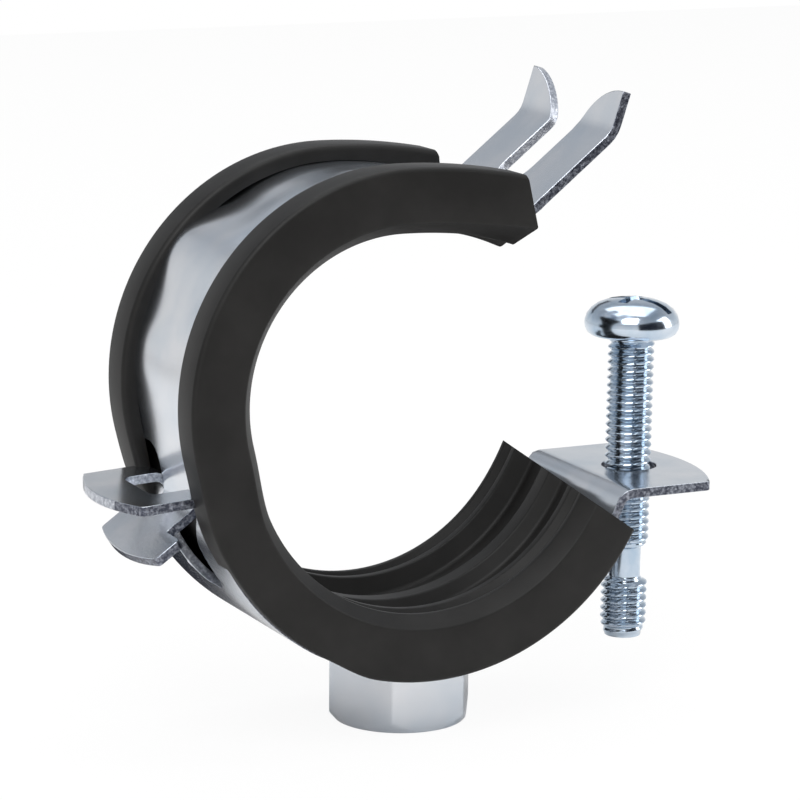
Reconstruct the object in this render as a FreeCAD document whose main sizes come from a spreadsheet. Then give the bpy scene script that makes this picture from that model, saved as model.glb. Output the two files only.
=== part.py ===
import FreeCAD, Part
import math
import os
import Sketcher
from FreeCAD import Placement, Rotation, Vector

# Rubber lined pipe clamp in two halves. X is across the pipe, Y is along it and Z is up.
# The origin is on the pipe's axis, in the middle of the clamp's width. All lengths are in
# millimetres and all angles in degrees. The upper half is drawn as it stands open, hooked
# into the lower half at the left, with its fork raised over the clamping screw at the right.

SIZES = {
    # Sheet metal of both halves
    "band_width": 24.6,
    "band_thickness": 1.2,
    "bend_radius": 1.6,
    # Rubber liner, from the pipe outwards
    "seat_radius": 22.9,
    "liner_height": 4.9,
    "floor_thickness": 2.3,
    "centre_rib_drop": 0.7,
    "centre_rib_width": 2.4,
    "side_rib_place": 8.3,
    "side_rib_width": 1.0,
    "lip_place": 11.3,
    "lip_width": 0.6,
    "lip_groove_depth": 1.6,
    "lip_bevel": 1.5,
    "rim_wall": 1.5,
    "rim_rise": 2.0,
    # Room left for a pipe beside the open upper half
    "pipe_room": 0.2,
    # Where the liner is parted at the hinge, and the room round the ear and the neck
    "hinge_gap": 2.4,
    "upper_gap_slope": 3.0,
    "lower_gap_slope": 10.0,
    "hinge_outset": 0.5,
    "hinge_depth": 0.7,
    "ear_room_side": 0.55,
    "ear_room_above": 2.1,
    "ear_room_below": 3.2,
    "neck_room_inner": 1.6,
    "neck_room_below": 1.6,
    # Lower half
    "hinge_ear_top": -6.3,
    "hinge_ear_width": 19.5,
    "hinge_ear_length": 7.6,
    "hinge_ear_arch": 2.2,
    "neck_play": 0.1,
    "window_reach": 4.4,
    "window_drop": 8.7,
    "screw_ear_top": -9.85,
    "screw_ear_spread": 0.2,
    "screw_ear_arch": 3.2,
    "screw_hole_radius": 3.5,
    "screw_hole_wall": 7.8,
    # Upper half
    "wrap_tightness": 3.25,
    "wrap_past_hinge": 0.15,
    "wrap_rise": 11.13,
    "neck_lean": 10.0,
    "neck_length": 8.86,
    "neck_width": 9.6,
    "shoulder_rise": 3.6,
    "shoulder_round": 2.6,
    "hook_slope": 35.0,
    "hook_width": 17.8,
    "hook_shank": 4.8,
    "hook_side": 3.7,
    "hook_arch": 1.4,
    "crown_turn": 98.0,
    "saddle_radius": 36.4,
    "saddle_turn": 27.3,
    "fork_rise": 38.5,
    "fork_length": 13.1,
    "fork_tip_rise": 72.0,
    "fork_tip_length": 5.3,
    "fork_slot_width": 7.4,
    "fork_slot_depth": 2.2,
    "fork_tip_flat": 0.8,
    "fork_tip_swell": 1.2,
    "flat_liner_radius": 71.0,
    "upper_liner_wrap": 125.0,
    "upper_liner_flat": 16.0,
    "upper_end_reach": 15.3,
    "upper_end_lean": 12.5,
    "lower_end_angle": 28.5,
    "lower_end_lean": 10.5,
    # Connection nut under the lower half
    "nut_flats": 16.7,
    "nut_room": 0.25,
    "nut_shift": 1.7,
    "nut_foot": -39.0,
    "nut_chamfer": 0.3,
    "nut_chamfer_angle": 48.0,
    "nut_bore_radius": 4.25,
    "nut_relief_width": 0.65,
    "nut_relief_depth": 1.2,
    # Clamping screw
    "screw_radius": 2.95,
    "head_radius": 6.0,
    "head_height": 4.7,
    "head_foot": 7.0,
    "head_side": 2.2,
    "head_crown": 3.7,
    "head_shoulder": 5.25,
    "head_shoulder_drop": 1.0,
    "thread_foot": -20.4,
    "waist_radius": 2.05,
    "waist_length": 3.9,
    "tip_foot": -32.0,
    "tip_taper": 1.8,
    "tip_radius": 2.3,
    "drive_width": 1.3,
    "drive_length": 6.6,
    "drive_depth": 2.4,
    "drive_turn": -56.0,
    "slot_depth": 1.3,
}

# Longer than any piece, for cuts that go right through
THROUGH = 120.0
FULL_TURN = "360"

doc = FreeCAD.newDocument("PipeClamp")
sheet = doc.addObject("Spreadsheet::Sheet", "Sizes")
for row, (alias, value) in enumerate(SIZES.items(), start=1):
    sheet.set(f"A{row}", alias)
    sheet.set(f"B{row}", str(value))
    sheet.setAlias(f"B{row}", alias)
sheet.set(f"A{len(SIZES) + 1}", "through")
sheet.set(f"B{len(SIZES) + 1}", str(THROUGH))
sheet.setAlias(f"B{len(SIZES) + 1}", "through")
doc.recompute()


def size(alias):
    return float(sheet.get(alias))


# Lengths that several pieces share
half_band = size("band_thickness") / 2
half_width = size("band_width") / 2
lower_radius = size("seat_radius") + size("liner_height") + half_band
liner_half = half_width + size("rim_wall")
rim_inner = size("nut_flats") / 2 + size("nut_room")

# Where the neck of the upper half passes through the lower half's ear, and the middle of the
# arc that the open upper half follows from there
hinge_x = -(lower_radius + size("hinge_outset"))
hinge_z = size("hinge_ear_top") - size("hinge_depth")
wrap_radius = lower_radius - size("wrap_tightness")
wrap_x = hinge_x + wrap_radius - size("wrap_past_hinge")
wrap_z = hinge_z + size("wrap_rise")

# The screw stands beside the band by the radius of its head, less the sheet's thickness
screw_x = lower_radius + half_band + size("head_radius") - size("band_thickness")


def new_body(name):
    body = doc.addObject("PartDesign::Body", name)
    body.Label = name
    body.Placement = Placement()
    return body


def new_sketch(body, name, role, base=Vector(), turn=0.0):
    # A sketch on one of the body's own planes, moved by base and turned about Y, both in the
    # part's frame
    plane = next(item for item in body.Origin.OriginFeatures if item.Role == role)
    sketch = body.newObject("Sketcher::SketchObject", name)
    sketch.AttachmentSupport = (plane, [""])
    sketch.MapMode = "FlatFace"
    own = plane.Placement
    wanted = Placement(base, Rotation(Vector(0, 1, 0), turn)).multiply(own)
    sketch.AttachmentOffset = own.inverse().multiply(wanted)
    return sketch


def draw(sketch, loop):
    # A closed loop of lines (two points) and arcs (three points), joined end to end
    first = sketch.GeometryCount
    for points in loop:
        corners = [Vector(across, up, 0) for across, up in points]
        curve = Part.LineSegment(*corners) if len(corners) == 2 else Part.Arc(*corners)
        sketch.addGeometry(curve, False)
    joints = []
    for step, points in enumerate(loop):
        here = first + step
        after = first + (step + 1) % len(loop)
        meeting = Vector(*points[-1], 0)
        ends = []
        for item in (here, after):
            starts_here = (sketch.getPoint(item, 1) - meeting).Length < 1e-5
            ends.append(1 if starts_here else 2)
        joints.append(Sketcher.Constraint("Coincident", here, ends[0], after, ends[1]))
    sketch.addConstraint(joints)


def polygon(points):
    return [(points[place - 1], point) for place, point in enumerate(points)]


def circle(sketch, across, up, alias, more=""):
    # more adds to the size that alias names
    centre = Vector(across, up, 0)
    item = sketch.addGeometry(Part.Circle(centre, Vector(0, 0, 1), size(alias)), False)
    radius = sketch.addConstraint(Sketcher.Constraint("Radius", item, size(alias)))
    sketch.setExpression(f"Constraints[{radius}]", f"Sizes.{alias}{more}")


def both_ways(body, kind, name, sketch, length):
    # A pad or pocket that runs equally to both sides of its sketch
    feature = body.newObject(f"PartDesign::{kind}", name)
    feature.Profile = sketch
    feature.SideType = "Symmetric"
    feature.setExpression("Length", length)
    sketch.Visibility = False
    doc.recompute()
    return feature


def revolve(body, kind, name, sketch, axis, angle, reverse=False):
    feature = body.newObject(f"PartDesign::{kind}", name)
    feature.Profile = sketch
    feature.ReferenceAxis = (sketch, [axis])
    feature.setExpression("Angle", angle)
    feature.Reversed = reverse
    doc.recompute()
    return feature


def centre_line(start, heading, moves):
    # Follows runs (length, 0) and bends (radius, turn) and gives, for each, its first, middle
    # and last point with the direction to its left
    point = start
    rows = []
    for reach, turn in moves:
        row = []
        for share in (0.0, 0.5, 1.0):
            angle = math.radians(heading + turn * share)
            left = (-math.sin(angle), math.cos(angle))
            if turn:
                signed = math.copysign(reach, turn)
                before = math.radians(heading)
                centre = (point[0] - signed * math.sin(before), point[1] + signed * math.cos(before))
                place = (centre[0] - signed * left[0], centre[1] - signed * left[1])
            else:
                place = (point[0] + share * reach * left[1], point[1] - share * reach * left[0])
            row.append((place, left))
        rows.append((turn != 0, row))
        point = row[-1][0]
        heading += turn
    return rows


def strip(rows, to_left, to_right):
    # The outline of a strip that lies between two distances from its centre line
    def side(row, away):
        return [(x + away * left[0], z + away * left[1]) for (x, z), left in row]

    loop = []
    for bent, row in rows:
        points = side(row, to_left)
        loop.append(points if bent else [points[0], points[-1]])
    back = []
    for bent, row in reversed(rows):
        points = side(row[::-1], -to_right)
        back.append(points if bent else [points[0], points[-1]])
    loop.append([loop[-1][-1], back[0][0]])
    loop.extend(back)
    loop.append([loop[-1][-1], loop[0][0]])
    return loop


def lower_line():
    # Ear, fold, round the pipe, fold, ear: seen from the front, from left to right
    bend = size("bend_radius")
    left_z = size("hinge_ear_top") - half_band
    right_z = size("screw_ear_top") - half_band
    reach = lower_radius + bend
    left_x = -math.sqrt(reach ** 2 - (left_z - bend) ** 2)
    right_x = math.sqrt(reach ** 2 - (right_z - bend) ** 2)
    left_turn = math.degrees(math.atan2(-left_x, bend - left_z))
    right_turn = math.degrees(math.atan2(right_x, bend - right_z))
    moves = [(bend, -left_turn), (lower_radius, left_turn + right_turn), (bend, -right_turn)]
    return (left_x, left_z), (right_x, right_z), centre_line((left_x, left_z), 0.0, moves)


def upper_line():
    # Hook, neck, round the pipe, flatter crown, then the fork: from the hinge over the top
    bend = size("bend_radius")
    lean = size("neck_lean")
    slope = size("hook_slope")
    fold = 90.0 + lean - slope
    angle = math.radians(180.0 + lean)
    meet_x = wrap_x + wrap_radius * math.cos(angle)
    meet_z = wrap_z + wrap_radius * math.sin(angle)
    neck = size("neck_length")
    corner = (meet_x + neck * math.sin(math.radians(lean)), meet_z - neck * math.cos(math.radians(lean)))
    tangent = bend * math.tan(math.radians(fold / 2))
    start = (corner[0] - tangent * math.cos(math.radians(slope)),
             corner[1] - tangent * math.sin(math.radians(slope)))
    dip = size("fork_rise") - (90.0 + lean - size("crown_turn") - size("saddle_turn"))
    moves = [
        (bend, fold),
        (neck - tangent, 0),
        (wrap_radius, -size("crown_turn")),
        (size("saddle_radius"), -size("saddle_turn")),
        (bend, dip),
        (size("fork_length"), 0),
        (bend, size("fork_tip_rise") - size("fork_rise")),
        (size("fork_tip_length"), 0),
    ]
    return corner, centre_line(start, slope, moves)


def make_lower_band():
    body = new_body("lower_band")
    left, right, rows = lower_line()
    wrap = new_sketch(body, "WrapProfile", "XZ_Plane")
    draw(wrap, strip(rows, half_band, half_band))
    both_ways(body, "Pad", "Wrap", wrap, "Sizes.band_width")

    # The band narrows to the hinge ear's width at the fold
    step = new_sketch(body, "EarStepOutline", "YZ_Plane", Vector(left[0], 0, 0))
    ear_half = size("hinge_ear_width") / 2
    foot = left[1] - 2 * size("bend_radius")
    for side in (-1, 1):
        draw(step, polygon([(side * ear_half, foot), (side * liner_half, foot),
                            (side * liner_half, 0), (side * ear_half, 0)]))
    both_ways(body, "Pocket", "EarStep", step, "Sizes.band_width")

    # Hinge ear, with a window for the neck of the upper half that runs on down the band
    ear = new_sketch(body, "HingeEarOutline", "XY_Plane", Vector(0, 0, left[1]))
    corner = left[0] - size("hinge_ear_length")
    apex = corner - size("hinge_ear_arch")
    draw(ear, [
        [(left[0], -ear_half), (corner, -ear_half)],
        [(corner, -ear_half), (apex, 0), (corner, ear_half)],
        [(corner, ear_half), (left[0], ear_half)],
        [(left[0], ear_half), (left[0], -ear_half)],
    ])
    both_ways(body, "Pad", "HingeEar", ear, "Sizes.band_thickness")
    slot_half = size("neck_width") / 2 + size("neck_play")
    slot = new_sketch(body, "EarWindowOutline", "XY_Plane", Vector(0, 0, left[1]))
    end = left[0] - size("window_reach")
    draw(slot, polygon([(end, -slot_half), (0, -slot_half), (0, slot_half), (end, slot_half)]))
    both_ways(body, "Pocket", "EarWindow", slot, "2 * Sizes.bend_radius")
    drop = new_sketch(body, "BandWindowOutline", "YZ_Plane", Vector(left[0], 0, 0))
    sill = size("hinge_ear_top") - size("window_drop")
    lintel = left[1] - size("bend_radius")
    draw(drop, [
        [(-slot_half, lintel), (-slot_half, sill + slot_half / 2)],
        [(-slot_half, sill + slot_half / 2), (0, sill), (slot_half, sill + slot_half / 2)],
        [(slot_half, sill + slot_half / 2), (slot_half, lintel)],
        [(slot_half, lintel), (-slot_half, lintel)],
    ])
    both_ways(body, "Pocket", "BandWindow", drop, "Sizes.band_width")

    # Screw ear with an arched end and the hole for the screw
    ear_half = half_width + size("screw_ear_spread")
    apex = screw_x + size("screw_hole_wall")
    corner = apex - size("screw_ear_arch")
    ear = new_sketch(body, "ScrewEarOutline", "XY_Plane", Vector(0, 0, right[1]))
    draw(ear, [
        [(right[0], -ear_half), (corner, -ear_half)],
        [(corner, -ear_half), (apex, 0), (corner, ear_half)],
        [(corner, ear_half), (right[0], ear_half)],
        [(right[0], ear_half), (right[0], -ear_half)],
    ])
    both_ways(body, "Pad", "ScrewEar", ear, "Sizes.band_thickness")
    hole = new_sketch(body, "ScrewHoleOutline", "XY_Plane", Vector(0, 0, right[1]))
    circle(hole, screw_x, 0, "screw_hole_radius")
    both_ways(body, "Pocket", "ScrewHole", hole, "2 * Sizes.bend_radius")
    return body


def make_upper_band():
    body = new_body("upper_band")
    corner, rows = upper_line()
    wrap = new_sketch(body, "WrapProfile", "XZ_Plane")
    draw(wrap, strip(rows, half_band, half_band))
    both_ways(body, "Pad", "Wrap", wrap, "Sizes.band_width")

    # The band narrows to the neck with rounded shoulders
    neck_half = size("neck_width") / 2
    shoulder = size("hinge_ear_top") + size("shoulder_rise")
    turn = size("shoulder_round")
    slant = turn * (1 - math.sqrt(0.5))
    neck = new_sketch(body, "NeckOutline", "YZ_Plane", Vector(corner[0], 0, 0))
    low = corner[1] - 2 * size("bend_radius")
    for side in (-1, 1):
        draw(neck, [
            [(side * neck_half, low), (side * neck_half, shoulder - turn)],
            [(side * neck_half, shoulder - turn), (side * (neck_half + slant), shoulder - slant),
             (side * (neck_half + turn), shoulder)],
            [(side * (neck_half + turn), shoulder), (side * liner_half, shoulder)],
            [(side * liner_half, shoulder), (side * liner_half, low)],
            [(side * liner_half, low), (side * neck_half, low)],
        ])
    both_ways(body, "Pocket", "Neck", neck, "Sizes.band_width")

    # Hook: a T shaped plate that lies below the hinge ear
    hook_half = size("hook_width") / 2
    foot = size("hook_shank")
    ends = foot + size("hook_side")
    apex = ends + size("hook_arch")
    start = size("bend_radius") / 2
    turn = 180.0 - size("hook_slope")
    hook = new_sketch(body, "HookOutline", "XY_Plane", Vector(corner[0], 0, corner[1]), turn)
    draw(hook, [
        [(start, -neck_half), (foot, -neck_half)],
        [(foot, -neck_half), (foot, -hook_half)],
        [(foot, -hook_half), (ends, -hook_half)],
        [(ends, -hook_half), (apex, 0), (ends, hook_half)],
        [(ends, hook_half), (foot, hook_half)],
        [(foot, hook_half), (foot, neck_half)],
        [(foot, neck_half), (start, neck_half)],
        [(start, neck_half), (start, -neck_half)],
    ])
    both_ways(body, "Pad", "Hook", hook, "Sizes.band_thickness")

    # Fork: an open slot for the screw, and tips rounded off on the slot's side
    slot_half = size("fork_slot_width") / 2
    plate = rows[-3][1]
    foot = plate[0][0][1] + size("fork_slot_depth")
    last = rows[-1][1]
    top = last[-1][0][1] + half_band
    bend_z = last[0][0][1]
    reach = half_width - size("fork_tip_flat")
    swing = (slot_half + reach) / 2
    rise = (bend_z + top) / 2 + size("fork_tip_swell")
    fork = new_sketch(body, "ForkOutline", "YZ_Plane", Vector(last[0][0][0], 0, 0))
    draw(fork, [
        [(-slot_half, bend_z), (-slot_half, foot + slot_half / 2)],
        [(-slot_half, foot + slot_half / 2), (0, foot), (slot_half, foot + slot_half / 2)],
        [(slot_half, foot + slot_half / 2), (slot_half, bend_z)],
        [(slot_half, bend_z), (swing, rise), (reach, top)],
        [(reach, top), (reach, top + half_band)],
        [(reach, top + half_band), (-reach, top + half_band)],
        [(-reach, top + half_band), (-reach, top)],
        [(-reach, top), (-swing, rise), (-slot_half, bend_z)],
    ])
    both_ways(body, "Pocket", "Fork", fork, "Sizes.band_width")
    return body


def liner_section(outer):
    # Half of the rubber's cross-section, from the middle out, as (along the pipe, radius)
    # pairs: outer is the radius of the band's outer face
    tip = outer - size("band_thickness") - size("liner_height")
    floor = outer - size("band_thickness") - size("floor_thickness")
    centre = tip + size("centre_rib_drop")
    centre_half = size("centre_rib_width") / 2
    rib_near = size("side_rib_place") - size("side_rib_width") / 2
    rib_far = size("side_rib_place") + size("side_rib_width") / 2
    lip_near = size("lip_place") - size("lip_width") / 2
    lip_far = size("lip_place") + size("lip_width") / 2
    groove = tip + size("lip_groove_depth")
    crest = outer + size("rim_rise")
    return [
        (centre_half, centre),
        (centre_half, floor),
        (rib_near, floor),
        (rib_near, tip),
        (rib_far, tip),
        (rib_far, groove),
        (lip_near, tip),
        (lip_far, tip),
        (liner_half, tip + size("lip_bevel")),
        (liner_half, crest),
        (rim_inner, crest),
        (rim_inner, outer - half_band),
    ]


def trim(body, name, point, heading):
    # Cuts off what lies to the left of a line through a point, as far as the liner is thick twice
    angle = math.radians(heading)
    reach = 2 * (size("liner_height") + size("rim_rise"))
    ahead = (reach * math.cos(angle), reach * math.sin(angle))
    near = (point[0] - ahead[0], point[1] - ahead[1])
    far = (point[0] + ahead[0], point[1] + ahead[1])
    aside = (-ahead[1], ahead[0])
    sketch = new_sketch(body, f"{name}Outline", "XZ_Plane")
    draw(sketch, polygon([near, far, (far[0] + aside[0], far[1] + aside[1]),
                          (near[0] + aside[0], near[1] + aside[1])]))
    both_ways(body, "Pocket", name, sketch, "Sizes.through")


def cut_groove(body, rows):
    # The groove that holds the band
    groove = new_sketch(body, "GrooveProfile", "XZ_Plane")
    draw(groove, strip(rows, half_band, half_band))
    both_ways(body, "Pocket", "Groove", groove, "Sizes.band_width")


def cut_hinge_room(body):
    # Room round the hinge ear, and a deeper one for the neck that passes through its window
    left = lower_line()[0]
    corner = upper_line()[0]
    outside = left[0] - size("hinge_ear_length")
    above = size("hinge_ear_top") + size("ear_room_above")
    below = size("hinge_ear_top") - size("ear_room_below")
    face = left[0] + size("bend_radius")
    room = new_sketch(body, "EarRoomOutline", "XZ_Plane")
    draw(room, polygon([(outside, below), (face, below), (face, above), (outside, above)]))
    both_ways(body, "Pocket", "EarRoom", room, "Sizes.hinge_ear_width + 2 * Sizes.ear_room_side")
    face = corner[0] + size("neck_room_inner")
    below = corner[1] - size("neck_room_below")
    room = new_sketch(body, "NeckRoomOutline", "XZ_Plane")
    draw(room, polygon([(outside, below), (face, below), (face, above), (outside, above)]))
    both_ways(body, "Pocket", "NeckRoom", room, "Sizes.neck_width + 2 * Sizes.ear_room_side")


def make_lower_liner():
    body = new_body("lower_liner")
    rows = lower_line()[2]
    outer = lower_radius + half_band
    begin = size("lower_end_angle") - size("lower_end_lean")
    section = new_sketch(body, "Section", "XY_Plane", turn=begin)
    points = [(radius, along) for along, radius in liner_section(outer)]
    draw(section, polygon(points + [(radius, -along) for radius, along in reversed(points)]))
    revolve(body, "Revolution", "Ring", section, "V_Axis",
            "180 - Sizes.lower_end_angle + Sizes.lower_end_lean")
    cut_groove(body, rows)
    meeting = (hinge_x, hinge_z - size("hinge_gap") / 2)
    trim(body, "HingeEnd", meeting, -size("lower_gap_slope"))
    angle = math.radians(size("lower_end_angle"))
    crest = outer + size("rim_rise")
    corner = (crest * math.cos(angle), -crest * math.sin(angle))
    trim(body, "ScrewEnd", corner, -size("lower_end_angle") - size("lower_end_lean"))
    cut_hinge_room(body)
    return body


def make_upper_liner():
    body = new_body("upper_liner")
    rows = upper_line()[1]
    outer = wrap_radius + half_band
    flat_z = wrap_z + outer - size("flat_liner_radius")
    section = new_sketch(body, "Section", "YZ_Plane", Vector(wrap_x, 0, 0))
    points = [(along, wrap_z + radius) for along, radius in liner_section(outer)]
    draw(section, polygon(points + [(-along, up) for along, up in reversed(points)]))
    for axis_z in (wrap_z, flat_z):
        axis = Part.LineSegment(Vector(-half_width, axis_z, 0), Vector(half_width, axis_z, 0))
        section.addGeometry(axis, True)
    revolve(body, "Revolution", "Wrap", section, "Axis0", "Sizes.upper_liner_wrap", True)
    revolve(body, "Revolution", "Flat", section, "Axis1", "Sizes.upper_liner_flat")
    cut_groove(body, rows)

    # The band's face is open between the two rims, all the way to the fork
    bare = new_sketch(body, "BareProfile", "XZ_Plane")
    draw(bare, strip(rows[1:4], size("liner_height"), 0))
    both_ways(body, "Pocket", "Bare", bare, "Sizes.nut_flats + 2 * Sizes.nut_room")
    meeting = (hinge_x, hinge_z + size("hinge_gap") / 2)
    trim(body, "HingeEnd", meeting, 180.0 + size("upper_gap_slope"))
    crest = size("flat_liner_radius") + size("rim_rise")
    reach = size("upper_end_reach")
    corner = (wrap_x + reach, flat_z + math.sqrt(crest ** 2 - reach ** 2))
    trim(body, "ForkEnd", corner, size("upper_end_lean") - 90.0)
    cut_hinge_room(body)

    # Its lower end stays clear of a pipe that lies in the lower half
    pipe = new_sketch(body, "PipeRoomOutline", "XZ_Plane")
    circle(pipe, 0, 0, "seat_radius", " + Sizes.pipe_room")
    both_ways(body, "Pocket", "PipeRoom", pipe, "Sizes.through")
    return body


def make_connection_nut():
    body = new_body("connection_nut")
    outer = lower_radius + half_band
    foot = size("nut_foot")
    middle = size("nut_shift")
    corner_radius = size("nut_flats") / math.sqrt(3)
    angles = [math.radians(60 * corner) for corner in range(6)]
    head_z = -math.sqrt(outer ** 2 - (corner_radius + middle) ** 2)
    blank = new_sketch(body, "BlankOutline", "XY_Plane", Vector(middle, 0, (foot + head_z) / 2))
    draw(blank, polygon([(corner_radius * math.cos(angle), corner_radius * math.sin(angle))
                         for angle in angles]))
    both_ways(body, "Pad", "Blank", blank, f"{head_z} - Sizes.nut_foot")

    # The top is shaped to the band, the foot is turned and the bore opens downwards
    saddle = new_sketch(body, "SaddleOutline", "XZ_Plane")
    circle(saddle, 0, 0, "seat_radius", " + Sizes.liner_height + Sizes.band_thickness")
    both_ways(body, "Pocket", "Saddle", saddle, "2 * Sizes.nut_flats")
    turned = new_sketch(body, "FootProfile", "XZ_Plane", Vector(middle, 0, 0))
    bevel = size("nut_chamfer")
    flat = size("nut_flats") / 2 - bevel / 2
    far = corner_radius + bevel
    climb = (far - flat) * math.tan(math.radians(size("nut_chamfer_angle")))
    draw(turned, polygon([(flat, foot), (far, foot), (far, foot + climb)]))
    revolve(body, "Groove", "Foot", turned, "V_Axis", FULL_TURN)
    bore = new_sketch(body, "BoreOutline", "XY_Plane", Vector(0, 0, foot))
    circle(bore, middle, 0, "nut_bore_radius")
    both_ways(body, "Pocket", "Bore", bore, "-2 * Sizes.nut_foot")

    # The thread ends short of the band in a wider relief
    relief = new_sketch(body, "ReliefOutline", "XY_Plane", Vector(0, 0, -outer))
    circle(relief, middle, 0, "nut_bore_radius", " + Sizes.nut_relief_width")
    both_ways(body, "Pocket", "Relief", relief, "2 * Sizes.nut_relief_depth")
    return body


def turned_to_drive(point):
    # A point beside the screw's axis, turned to the direction of the slot in its head
    turn = math.radians(size("drive_turn"))
    across, up = point
    return (screw_x + across * math.cos(turn) - up * math.sin(turn),
            across * math.sin(turn) + up * math.cos(turn))


def make_clamp_screw():
    body = new_body("clamp_screw")
    foot = size("head_foot")
    top = foot + size("head_height")
    head = size("head_radius")
    side = foot + size("head_side")
    crown = size("head_crown")
    thread = size("screw_radius")
    waist = size("waist_radius")
    waist_top = size("thread_foot")
    waist_foot = waist_top - size("waist_length")
    tip = size("tip_foot")
    profile = new_sketch(body, "TurnedProfile", "XZ_Plane", Vector(screw_x, 0, 0))
    draw(profile, polygon([
        (0, top),
        (crown, top),
        (size("head_shoulder"), top - size("head_shoulder_drop")),
        (head, side),
        (head, foot),
        (thread, foot),
        (thread, waist_top),
        (waist, waist_top),
        (waist, waist_foot),
        (thread, waist_foot),
        (thread, tip + size("tip_taper")),
        (size("tip_radius"), tip),
        (0, tip),
    ]))
    revolve(body, "Revolution", "Turned", profile, "V_Axis", FULL_TURN)

    # Cross recess with a slot across the whole head
    drive = new_sketch(body, "CrossOutline", "XY_Plane", Vector(0, 0, top))
    arm = size("drive_length") / 2
    half = size("drive_width") / 2
    draw(drive, polygon([turned_to_drive(point) for point in (
        (arm, -half), (arm, half), (half, half), (half, arm), (-half, arm), (-half, half),
        (-arm, half), (-arm, -half), (-half, -half), (-half, -arm), (half, -arm), (half, -half))]))
    both_ways(body, "Pocket", "Cross", drive, "2 * Sizes.drive_depth")
    slot = new_sketch(body, "SlotOutline", "XY_Plane", Vector(0, 0, top))
    far = head + size("drive_width")
    draw(slot, polygon([turned_to_drive(point) for point in (
        (far, -half), (far, half), (-far, half), (-far, -half))]))
    both_ways(body, "Pocket", "Slot", slot, "2 * Sizes.slot_depth")
    return body


def check(pieces):
    failed = [item.Name for item in doc.Objects if {"Invalid", "Error"} & set(item.State)]
    failed += [piece.Label for piece in pieces if piece.Shape.isNull() or not piece.Shape.isValid()]
    if failed:
        raise RuntimeError(f"these objects failed: {failed}")


pieces = [
    make_lower_band(),
    make_connection_nut(),
    make_lower_liner(),
    make_upper_band(),
    make_upper_liner(),
    make_clamp_screw(),
]
doc.recompute()
check(pieces)
os.makedirs("parts", exist_ok=True)
for piece in pieces:
    piece.Shape.exportStep(f"parts/{piece.Label}.step")
    print(piece.Label, round(piece.Shape.Volume, 1), "cubic millimetres")
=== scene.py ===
import math
import bmesh
import bpy
from mathutils import Matrix, Vector, geometry, noise


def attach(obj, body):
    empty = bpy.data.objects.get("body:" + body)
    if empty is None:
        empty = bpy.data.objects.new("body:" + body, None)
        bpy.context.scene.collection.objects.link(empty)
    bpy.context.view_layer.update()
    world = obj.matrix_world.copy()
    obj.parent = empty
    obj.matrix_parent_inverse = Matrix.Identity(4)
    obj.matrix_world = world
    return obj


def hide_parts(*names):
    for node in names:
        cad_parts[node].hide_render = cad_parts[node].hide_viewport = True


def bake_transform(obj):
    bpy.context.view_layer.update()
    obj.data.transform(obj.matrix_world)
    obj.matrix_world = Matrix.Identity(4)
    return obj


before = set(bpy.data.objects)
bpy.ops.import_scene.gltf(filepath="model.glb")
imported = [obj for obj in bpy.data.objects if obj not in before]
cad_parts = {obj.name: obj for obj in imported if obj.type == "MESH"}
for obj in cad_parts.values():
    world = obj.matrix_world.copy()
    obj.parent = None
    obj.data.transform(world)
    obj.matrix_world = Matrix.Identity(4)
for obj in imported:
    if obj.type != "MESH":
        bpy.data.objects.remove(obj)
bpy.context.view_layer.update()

mm = 0.001


# Colours and node helpers

def hexColour(text):
    parts = [int(text[place:place + 2], 16) / 255 for place in (1, 3, 5)]
    linear = [part / 12.92 if part <= 0.04045 else ((part + 0.055) / 1.055) ** 2.4 for part in parts]
    return (*linear, 1.0)


def setInputs(tree, node, inputs, links):
    for name, value in inputs.items():
        node.inputs[name].default_value = value
    for name, socket in links.items():
        tree.links.new(socket, node.inputs[name])


def addNode(tree, kind, inputs=None, links=None, **settings):
    node = tree.nodes.new(kind)
    for name, value in settings.items():
        setattr(node, name, value)
    setInputs(tree, node, inputs or {}, links or {})
    return node


def addNoise(tree, place, size, detail, roughness=0.5):
    # Noise whose largest grains have the given size in mm
    inputs = {"Scale": 1 / (size * mm), "Detail": detail, "Roughness": roughness}
    return addNode(tree, "ShaderNodeTexNoise", inputs, {"Vector": place}).outputs["Fac"]


def addRamp(tree, source, stops):
    ramp = addNode(tree, "ShaderNodeValToRGB", links={"Fac": source})
    for place, (position, colour) in enumerate(stops):
        stop = ramp.color_ramp.elements[place] if place < 2 else ramp.color_ramp.elements.new(position)
        stop.position = position
        stop.color = hexColour(colour)
    return ramp.outputs["Color"]


def addRange(tree, source, limits):
    spread = addNode(tree, "ShaderNodeMapRange", {"To Min": limits[0], "To Max": limits[1]}, {"Value": source})
    return spread.outputs["Result"]


def addBump(tree, source, relief):
    strength, depth = relief
    bump = addNode(tree, "ShaderNodeBump", {"Strength": strength, "Distance": depth * mm}, {"Height": source})
    return bump.outputs["Normal"]


def clearTree(owner):
    owner.use_nodes = True
    owner.node_tree.nodes.clear()
    return owner.node_tree


def newMaterial(name):
    material = bpy.data.materials.new(name)
    tree = clearTree(material)
    shader = tree.nodes.new("ShaderNodeBsdfPrincipled")
    addNode(tree, "ShaderNodeOutputMaterial", links={"Surface": shader.outputs["BSDF"]})
    place = tree.nodes.new("ShaderNodeTexCoord").outputs["Object"]
    return material, tree, shader, place


# Materials

zincLook = {
    "pale": "#d2d4d8",        # bright zinc with a clear passivation: cool light grey
    "blue": "#c0c8d1",        # where the passivation is thicker it turns a little blue
    "roughness": (0.15, 0.28),    # rolled sheet is bright but not a mirror
    "cloudSize": 9.0,         # mm, clouds of the plating bath
    "rollSpacing": 0.35,      # mm, rolling lines along the strip
    "rollStretch": 0.06,      # their width over their length
    "pitSize": 0.6,           # mm
    "pitShare": 0.5,          # of the pits' height beside that of the lines
    "relief": (0.08, 0.05),   # strength, depth in mm
}


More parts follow.
